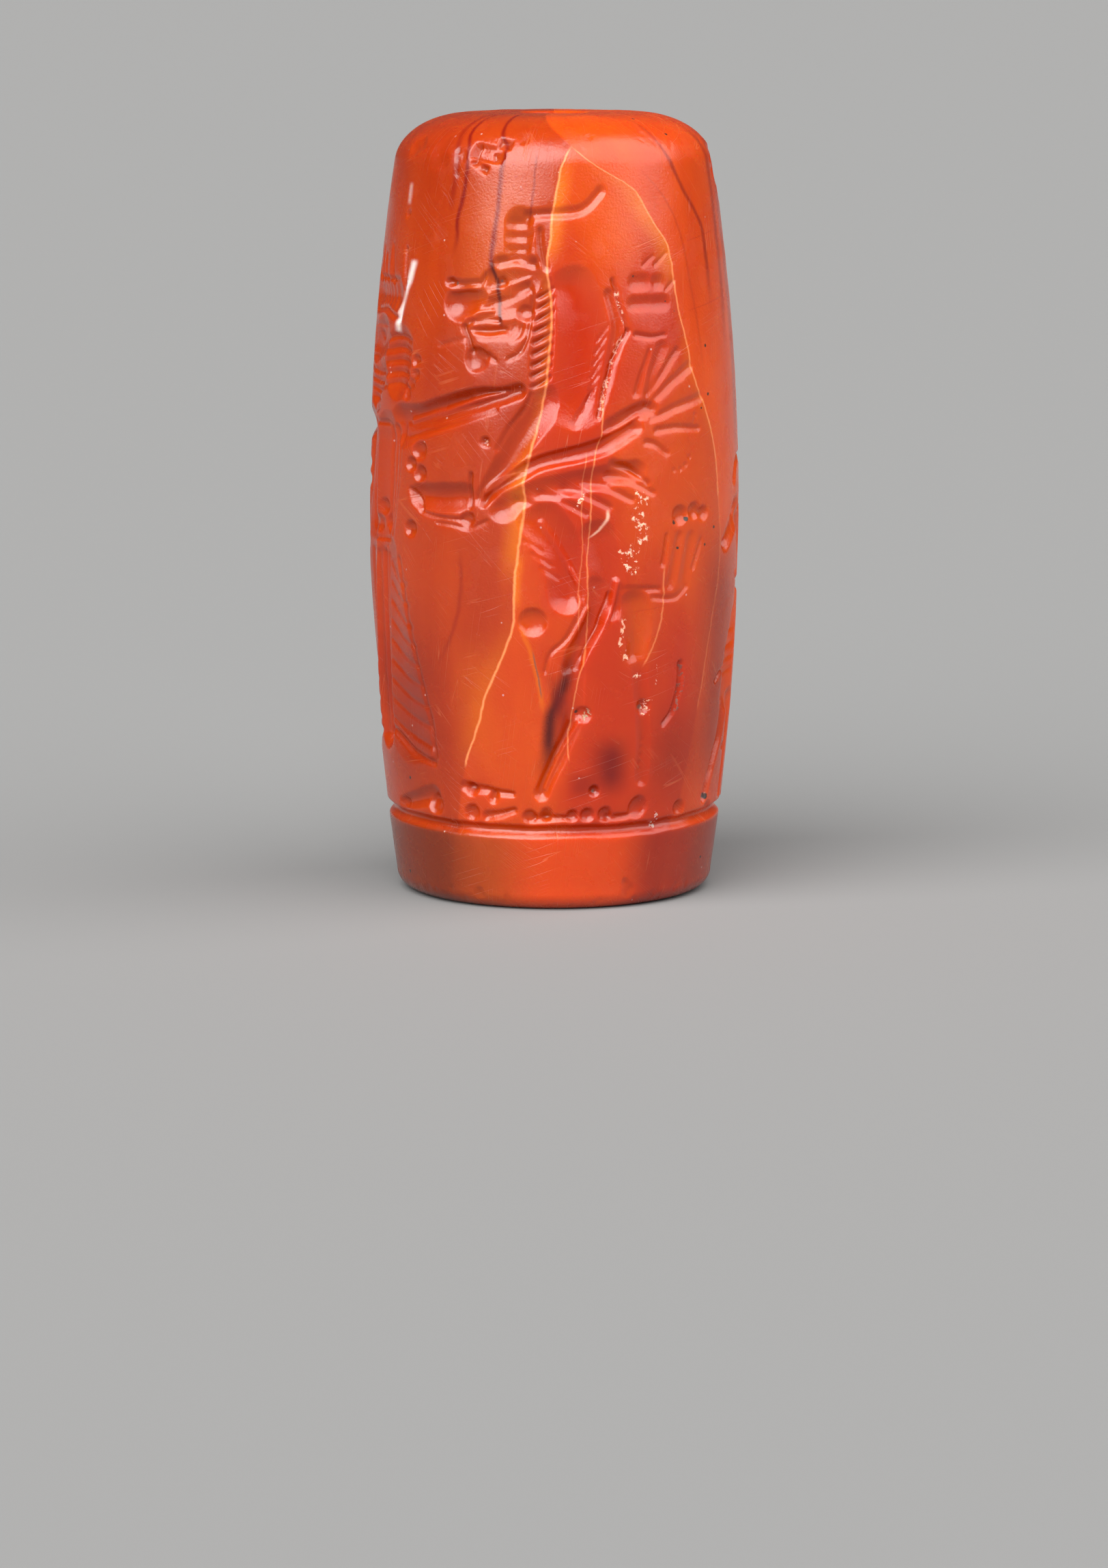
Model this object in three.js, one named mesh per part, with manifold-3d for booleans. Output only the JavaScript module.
// Cylinder seal of carnelian, Achaemenid in style: a swelling stone barrel, drilled for a cord and
// carved in intaglio all the way round. Rolled over wet clay it prints a hero between two rearing
// lion griffins, and two small ibexes either side of a dancing figure. Millimetres, +Z up; the seal
// stands on its lower end, with the bore along the Z axis and the left griffin facing -Y.

import * as THREE from 'three';
import { mergeVertices } from 'three/addons/utils/BufferGeometryUtils.js';
import Module from 'manifold-3d';

const wasm = await Module();
wasm.setup();

// ---------------------------------------------------------------- driving dimensions
const HEIGHT = 38.9;
const BELLY_RADIUS = 9.28;
const BELLY_HEIGHT = 18.7;
const BELLY_CURVE = 0.0042; // loss of radius per square of the height away from the belly
const FOOT_RADIUS = 6.9;
const FOOT_EDGE_HEIGHT = 0.9;
const SHOULDER_HEIGHT = 36.6;
const LAND_RADIUS = 4.2; // flat land round the upper mouth of the bore
const BORE_RADIUS = 1.5;
const MOUTH_RADIUS = 1.8;
const MOUTH_DEPTH = 0.5;

const GROUND_LINE = 3.88; // height that the figures stand at
const GROOVE_HEIGHT = 4.12; // the groove that marks the ground line
const GROOVE_DEPTH = 0.34;
const GROOVE_HALF_WIDTH = 0.3;

const DRAWING_RISE = 0.953; // the figures stand this much of the height they were drawn at
const DRAWING_LEAN = 0.03; // and lean over by this much for each millimetre of height
const DRAWING_MIDDLE = 28;
const DEPTH_SHARE = 0.8; // worn stone keeps this much of the depth that a mark is drawn with

const BARREL_SIDES = 48;
const BARREL_RINGS = 5; // between the ground line and the shoulder
const SHOULDER_RINGS = 4;
const BORE_SIDES = 16;
const BROAD_TOOL_SIDES = 8;
const FINE_TOOL_SIDES = 6;
const FINE_TOOL_RADIUS = 1.6; // a tool under this size is cut as a plain spindle
const LONGEST_REACH = 4.2; // a cut that goes further round is made in steps, to follow the barrel

const CARNELIAN = new THREE.MeshStandardMaterial({ color: 0x9c3a1c, roughness: 0.28, metalness: 0 });

// ---------------------------------------------------------------- the barrel
function barrelRadius(height) {
  return BELLY_RADIUS - BELLY_CURVE * (height - BELLY_HEIGHT) ** 2;
}

function barrelProfile() {
  const profile = [[0, 0], [FOOT_RADIUS, 0]];
  const footEdge = barrelRadius(FOOT_EDGE_HEIGHT);
  profile.push([FOOT_RADIUS + 0.7 * (footEdge - FOOT_RADIUS), 0.25 * FOOT_EDGE_HEIGHT]);
  profile.push([footEdge, FOOT_EDGE_HEIGHT]);

  const under = GROOVE_HEIGHT - GROOVE_HALF_WIDTH;
  const over = GROOVE_HEIGHT + GROOVE_HALF_WIDTH;
  profile.push([barrelRadius(under), under]);
  profile.push([barrelRadius(GROOVE_HEIGHT) - GROOVE_DEPTH, GROOVE_HEIGHT]);
  profile.push([barrelRadius(over), over]);

  for (let ring = 1; ring <= BARREL_RINGS; ring += 1) {
    const height = over + ((SHOULDER_HEIGHT - over) * ring) / BARREL_RINGS;
    profile.push([barrelRadius(height), height]);
  }

  // The shoulder turns over to the land as a quarter of an ellipse.
  const shoulder = barrelRadius(SHOULDER_HEIGHT);
  for (let ring = 1; ring <= SHOULDER_RINGS; ring += 1) {
    const angle = (ring / SHOULDER_RINGS) * (Math.PI / 2);
    const outward = (shoulder - LAND_RADIUS) * Math.cos(angle);
    const rise = (HEIGHT - SHOULDER_HEIGHT) * Math.sin(angle);
    profile.push([LAND_RADIUS + outward, SHOULDER_HEIGHT + rise]);
  }
  profile.push([0, HEIGHT]);
  return profile;
}

function boreProfile() {
  const beyond = 1;
  return [
    [0, -beyond],
    [MOUTH_RADIUS + beyond * 0.4, -beyond],
    [BORE_RADIUS, MOUTH_DEPTH],
    [BORE_RADIUS, HEIGHT - MOUTH_DEPTH],
    [MOUTH_RADIUS + beyond * 0.4, HEIGHT + beyond],
    [0, HEIGHT + beyond],
  ];
}

// ---------------------------------------------------------------- solids and cutting tools
function toSolid(geometry) {
  const bare = geometry.clone();
  bare.deleteAttribute('normal');
  bare.deleteAttribute('uv');
  const merged = mergeVertices(bare, 1e-5);
  return new wasm.Manifold(new wasm.Mesh({
    numProp: 3,
    vertProperties: new Float32Array(merged.attributes.position.array),
    triVerts: new Uint32Array(merged.index.array),
  }));
}

function toGeometry(solid) {
  const mesh = solid.getMesh();
  const geometry = new THREE.BufferGeometry();
  geometry.setAttribute('position', new THREE.BufferAttribute(mesh.vertProperties, 3));
  geometry.setIndex(new THREE.BufferAttribute(mesh.triVerts, 1));
  geometry.computeVertexNormals();
  return geometry;
}

function turned(profile, sides) {
  const outline = profile.map(([radius, height]) => new THREE.Vector2(radius, height));
  const geometry = new THREE.LatheGeometry(outline, sides);
  geometry.rotateX(Math.PI / 2); // LatheGeometry turns about Y
  return toSolid(geometry);
}

// A place on the drawing, in millimetres along the girth and up from the ground line, as a point at
// this lift above the stone. The drawing is the print, so the stone carries it the other way round.
function overStone(along, up, lift) {
  const turn = -(along + DRAWING_LEAN * (DRAWING_MIDDLE - up)) / BELLY_RADIUS;
  const height = GROUND_LINE + DRAWING_RISE * up;
  const reach = barrelRadius(height) + lift;
  return new THREE.Vector3(reach * Math.sin(turn), -reach * Math.cos(turn), height);
}

// The round tool that leaves a cut of this half width and depth, and how high its middle runs.
function roundTool(halfWidth, depth) {
  const radius = (halfWidth ** 2 + depth ** 2) / (2 * depth);
  return { radius, lift: radius - depth };
}

// A spindle from one ball to another, along which a tool passes. A broad one has rounder ends.
function toolPath(start, end, startRadius, endRadius) {
  const length = start.distanceTo(end);
  const outline = [[0, -startRadius], [startRadius, 0], [endRadius, length], [0, length + endRadius]];
  let sides = FINE_TOOL_SIDES;
  if (Math.max(startRadius, endRadius) > FINE_TOOL_RADIUS) {
    outline.splice(3, 0, [endRadius * Math.SQRT1_2, length + endRadius * Math.SQRT1_2]);
    outline.splice(1, 0, [startRadius * Math.SQRT1_2, -startRadius * Math.SQRT1_2]);
    sides = BROAD_TOOL_SIDES;
  }
  const points = outline.map(([radius, height]) => new THREE.Vector2(radius, height));
  const geometry = new THREE.LatheGeometry(points, sides);
  const direction = new THREE.Vector3().subVectors(end, start).normalize();
  const lay = new THREE.Quaternion().setFromUnitVectors(new THREE.Vector3(0, 1, 0), direction);
  geometry.applyQuaternion(lay);
  geometry.translate(start.x, start.y, start.z);
  return toSolid(geometry);
}

const cuts = [];

// One sunk mark through a row of [along, up] points, with the half width going from first to last.
function sink(points, firstWidth, lastWidth, depth) {
  const spans = points.length - 1;
  for (let span = 0; span < spans; span += 1) {
    const [fromAlong, fromUp] = points[span];
    const [toAlong, toUp] = points[span + 1];
    const steps = Math.max(1, Math.ceil(Math.abs(toAlong - fromAlong) / LONGEST_REACH));
    for (let step = 0; step < steps; step += 1) {
      const ends = [step / steps, (step + 1) / steps].map((part) => {
        const halfWidth = firstWidth + (lastWidth - firstWidth) * ((span + part) / spans);
        const tool = roundTool(halfWidth, Math.min(DEPTH_SHARE * depth, halfWidth));
        const along = fromAlong + (toAlong - fromAlong) * part;
        const up = fromUp + (toUp - fromUp) * part;
        return { at: overStone(along, up, tool.lift), radius: tool.radius };
      });
      cuts.push(toolPath(ends[0].at, ends[1].at, ends[0].radius, ends[1].radius));
    }
  }
}

// A single touch of the round drill.
function drill(along, up, halfWidth, depth) {
  const tool = roundTool(halfWidth, Math.min(DEPTH_SHARE * depth, halfWidth));
  const geometry = new THREE.IcosahedronGeometry(tool.radius, tool.radius > FINE_TOOL_RADIUS ? 1 : 0);
  const at = overStone(along, up, tool.lift);
  geometry.translate(at.x, at.y, at.z);
  cuts.push(toSolid(geometry));
}

// Puts a figure's own points on the drawing: facing is 1 to the right and -1 to the left.
function placer(place, facing) {
  return (points) => points.map(([along, up]) => [place + facing * along, up]);
}

// ---------------------------------------------------------------- the figures
function griffin(place, facing) {
  const put = placer(place, facing);

  // head, muzzle, jaw, brow, ringed horn and the drop at the chin
  sink(put([[1.4, 27.9], [3.2, 27.7]]), 1.5, 1.2, 0.75);
  sink(put([[4.3, 27.5], [5.2, 27.35]]), 0.9, 0.95, 0.65);
  sink(put([[1.8, 26.2], [3.6, 26.1]]), 0.8, 0.6, 0.5);
  sink(put([[1.1, 29.5], [3, 29.5]]), 0.4, 0.4, 0.4);
  sink(put([[2.1, 31.6], [1.9, 30.2]]), 0.75, 0.75, 0.5);
  sink(put([[1.4, 31.9], [-0.8, 32.1], [-2.4, 33.1]]), 0.4, 0.15, 0.35);
  drill(place + facing * 3.9, 24.6, 0.64, 0.5);

  // neck, crest, ruff and chest
  sink(put([[-1, 28.2], [-1.6, 25.6], [-1.3, 22.6]]), 1.1, 1.45, 0.8);
  sink(put([[-3, 27.8], [-3.4, 25.8], [-2.5, 22.4]]), 0.4, 0.5, 0.35);
  sink(put([[0.5, 27.9], [0.5, 23.6]]), 0.55, 0.5, 0.45);
  sink(put([[0.3, 22.2], [1.8, 20], [3.1, 17.5]]), 1, 0.6, 0.7);

  // wing: two bands, six long feathers above and four shorter below
  sink(put([[2.8, 17.7], [0.6, 19.3], [-2.6, 20.2], [-5.2, 21.9]]), 0.6, 0.6, 0.7);
  sink(put([[1.9, 17.1], [-1, 18.2], [-4.4, 18.9]]), 0.7, 0.5, 0.45);
  const tips = [[-5.2, 25], [-6.9, 24.8], [-7.7, 23.9], [-8.5, 22.4], [-8.4, 20.8], [-6.2, 19.7]];
  tips.forEach((tip, order) => {
    sink(put([[-5, 22.6 - 0.42 * order], tip]), 0.2, 0.24, 0.36);
  });
  const lowerTips = [[-0.8, 16.4], [-1.9, 16.8], [-3.1, 17.2], [-4.2, 17.6]];
  lowerTips.forEach((tip, order) => {
    sink(put([[1.5 - 1.15 * order, 17.4 + 0.33 * order], tip]), 0.3, 0.2, 0.32);
  });

  // body and tail
  sink(put([[0.2, 16.4], [-0.9, 14.4], [-1.2, 12.6]]), 1.2, 1.1, 0.8);
  sink(put([[-2.5, 15.4], [-3.2, 12.2]]), 0.95, 0.9, 0.6);
  drill(place + facing * 0.55, 11.2, 0.72, 0.5);
  sink(put([[-4.1, 12.7], [-6.6, 12.4], [-7.4, 13.4], [-8, 15.4]]), 0.35, 0.6, 0.4);

  // raised forelegs, with paws
  sink(put([[2.4, 22.9], [5.6, 22.1], [8.6, 21.2]]), 0.3, 1, 0.7);
  sink(put([[4.4, 17.5], [7, 17.4]]), 0.8, 0.75, 0.6);
  drill(place + facing * 7.3, 19.3, 0.75, 0.55);
  drill(place + facing * 4.05, 16.4, 0.42, 0.4);

  // standing legs and feet
  sink(put([[-2.8, 13], [-2.2, 10.6], [-1.5, 8.8]]), 0.95, 0.6, 0.65);
  sink(put([[-1.6, 8.6], [-1.5, 5.6], [-0.1, 2.2]]), 0.55, 0.45, 0.55);
  sink(put([[-4.5, 12], [-4.9, 9.2]]), 0.95, 0.6, 0.5);
  sink(put([[-4.9, 9], [-5.5, 5], [-5.6, 2.8]]), 0.45, 0.42, 0.35);
  sink(put([[-5.6, 1.1], [-2.4, 1]]), 0.5, 0.4, 0.45);
  sink(put([[-1.8, 1], [0.6, 0.95]]), 0.35, 0.4, 0.4);
  sink(put([[1.4, 1.2], [3.8, 1]]), 0.35, 0.45, 0.45);
}

// Flower of four petals behind a griffin's head, over a small leaf.
function blossom(along, up) {
  const petal = 0.56;
  for (const [side, rise] of [[-1, 1], [1, 1], [-1, -1], [1, -1]]) {
    drill(along + side * petal, up + rise * petal, 0.5, 0.4);
  }
  sink([[along - 0.9, up - 2.2], [along + 0.8, up - 2.1]], 0.18, 0.2, 0.25);
}

function hero(place) {
  const put = placer(place, 1);

  // crown, head, hair and beard
  sink(put([[-1.6, 27.7], [1.7, 27.7]]), 0.8, 0.8, 0.5);
  for (const [foot, tip] of [[-1.5, -1.9], [-0.6, -0.4], [0.4, 0.6], [1.4, 1.8]]) {
    sink(put([[foot, 28.3], [tip, 29.8]]), 0.35, 0.14, 0.32);
  }
  sink(put([[-0.4, 25.2], [0.7, 24.9]]), 1.5, 1.4, 0.8);
  sink(put([[-2.4, 24.6], [-2.6, 23.4]]), 1.3, 1.2, 0.7);
  sink(put([[0.4, 23.2], [0.9, 22]]), 1.3, 0.9, 0.6);

  // shoulders and upper robe, with both arms held out
  sink(put([[-1.6, 19.8], [-1.3, 15.8]]), 1.7, 1.3, 0.75);
  sink(put([[1.4, 19.8], [1, 15.8]]), 1.9, 1.4, 0.8);
  sink(put([[-2.6, 20.8], [-6.6, 21.9], [-10.2, 22.9]]), 0.95, 0.45, 0.6);
  sink(put([[2.8, 20.8], [7, 21.8], [10.5, 22.5]]), 0.85, 0.45, 0.55);

  // skirt: one broad pleat down the middle and folds that swing out to both sides
  sink(put([[-0.8, 14], [-0.9, 4.6]]), 0.85, 0.95, 0.75);
  sink(put([[-2, 14], [-3, 9], [-4.4, 4.4]]), 1.1, 1.3, 0.6);
  sink(put([[1, 14], [2, 9], [2.5, 4.2]]), 1.2, 1.7, 0.6);

  // feet
  for (const side of [-5.2, 2.8]) {
    sink(put([[side, 1.7], [side + 2.8, 0.95]]), 0.6, 0.4, 0.45);
  }
}

// Small rearing ibex, head turned outward.
function ibex(place, facing) {
  const put = placer(place, facing);
  sink(put([[5.2, 17.8], [4, 18.9], [2.6, 19.1], [1.6, 20.9]]), 0.35, 0.22, 0.3);
  sink(put([[6.5, 14.7], [4.9, 16.1]]), 0.5, 0.7, 0.45);
  sink(put([[4, 15.6], [3.5, 12.8], [4.1, 10.4]]), 0.8, 1, 0.55);
  sink(put([[4.2, 10], [5, 7]]), 1.15, 1.2, 0.65);
  sink(put([[5.4, 6.2], [6.2, 3.6], [7, 1.2]]), 0.6, 0.3, 0.4);
  sink(put([[4.3, 6.4], [4.3, 1.2]]), 0.6, 0.35, 0.4);
  sink(put([[2.8, 9], [1.8, 11]]), 0.35, 0.25, 0.25);
  sink(put([[5.6, 8], [7, 7.4]]), 0.35, 0.2, 0.25);
}

// Small dancing figure in a feather crown, seen from the front.
function dancer(place) {
  const put = placer(place, 1);
  for (let feather = 0; feather < 5; feather += 1) {
    const along = -1.1 + 0.55 * feather;
    sink(put([[along, 18.9], [along * 1.25, 20.9]]), 0.2, 0.24, 0.26);
  }
  sink(put([[-0.3, 17.3], [0.5, 17.3]]), 1.1, 1.1, 0.6);
  sink(put([[0.1, 15.6], [0.1, 14.2]]), 1.3, 0.8, 0.5);
  sink(put([[0, 12], [0, 9.4]]), 1.2, 1.3, 0.7);
  sink(put([[0.8, 11.6], [4, 12.8]]), 0.55, 0.3, 0.4);
  sink(put([[-0.8, 11.8], [-3.2, 12.7]]), 0.55, 0.3, 0.4);
  sink(put([[-0.9, 8], [-2.2, 6.2], [-1.8, 3], [-1.3, 0.9]]), 1.1, 0.35, 0.5);
  sink(put([[0.9, 7.7], [2.4, 6], [1.7, 3], [0.6, 0.8]]), 1.1, 0.35, 0.5);
}

// ---------------------------------------------------------------- old damage
// Chips along the rims, each a shallow scoop where the surface turns over: place along the girth,
// height up the barrel, half width and depth.
function chips() {
  const scoops = [
    [-13.7, 36.4, 2, 0.7], [4.4, 37, 1, 0.4], [7.2, 36.6, 1.6, 0.5],
    [19, 36.5, 1.8, 0.55], [24.4, 34.8, 1.8, 0.7], [-5.4, 1.1, 0.9, 0.3], [33, 1.2, 1.4, 0.4],
  ];
  for (const [along, height, halfWidth, depth] of scoops) {
    drill(along, (height - GROUND_LINE) / DRAWING_RISE, halfWidth, depth);
  }
}

// ---------------------------------------------------------------- the seal
const HERO_PLACE = 11.75;
const LEFT_GRIFFIN_PLACE = 0;
const RIGHT_GRIFFIN_PLACE = 24;
const DANCER_PLACE = 40.45;

griffin(LEFT_GRIFFIN_PLACE, 1);
griffin(RIGHT_GRIFFIN_PLACE, -1);
blossom(LEFT_GRIFFIN_PLACE - 5.2, 27.9);
blossom(RIGHT_GRIFFIN_PLACE + 5.4, 27.4);
hero(HERO_PLACE);
ibex(DANCER_PLACE, -1);
ibex(DANCER_PLACE, 1);
dancer(DANCER_PLACE);
chips();

const bore = turned(boreProfile(), BORE_SIDES);
const carved = turned(barrelProfile(), BARREL_SIDES).subtract(wasm.Manifold.union([bore, ...cuts]));

const sealBody = new THREE.Mesh(toGeometry(carved), CARNELIAN);
sealBody.name = 'seal_body';

const seal = new THREE.Group();
seal.add(sealBody);

export default seal;
